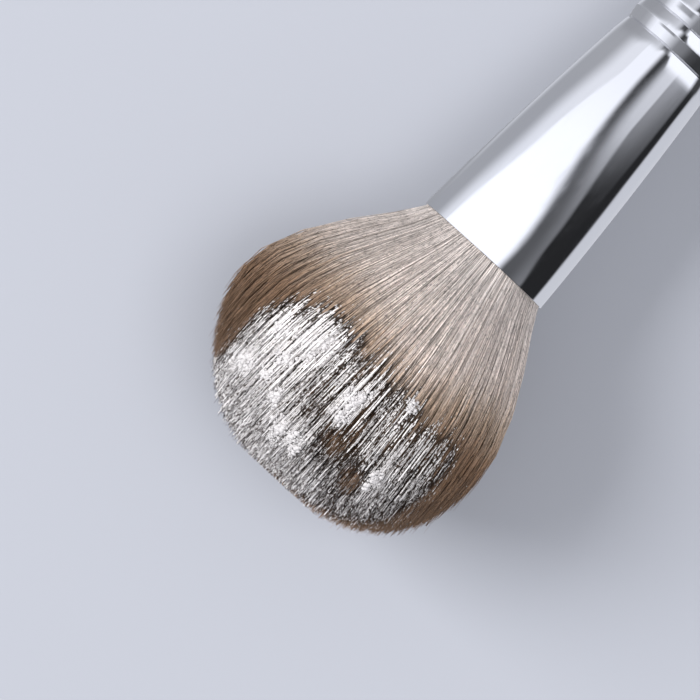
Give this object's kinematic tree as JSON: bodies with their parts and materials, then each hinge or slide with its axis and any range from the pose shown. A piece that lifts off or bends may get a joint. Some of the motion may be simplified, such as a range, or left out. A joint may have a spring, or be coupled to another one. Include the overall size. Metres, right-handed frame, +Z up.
{
  "type": "powder brush",
  "caption": "Large round powder brush with a domed tuft of synthetic hair, a tapered polished metal ferrule with rolled beads and a turned wooden handle, lying on its side.",
  "frame": {"origin": "on the table plane, under the middle of the brush's box, as it lies on its side", "axes": "+X along the brush towards the handle's round end, +Z up, +Y towards the fuller side of the tuft"},
  "size_m": [0.1936, 0.0525, 0.0523],
  "materials": {
    "ferrule": "mirror polished",
    "handle": "black gloss lacquer",
    "bristles": "fine synthetic hair, greige with a brown band and pale tips",
    "binding_thread": "twisted cotton",
    "root_glue": "cured epoxy"
  },
  "bodies": {
    "root": {"ferrule": "ferrule", "handle": "handle", "bristles": "bristles", "binding_thread": "binding_thread", "root_glue": "root_glue"}
  },
  "joints": []
}
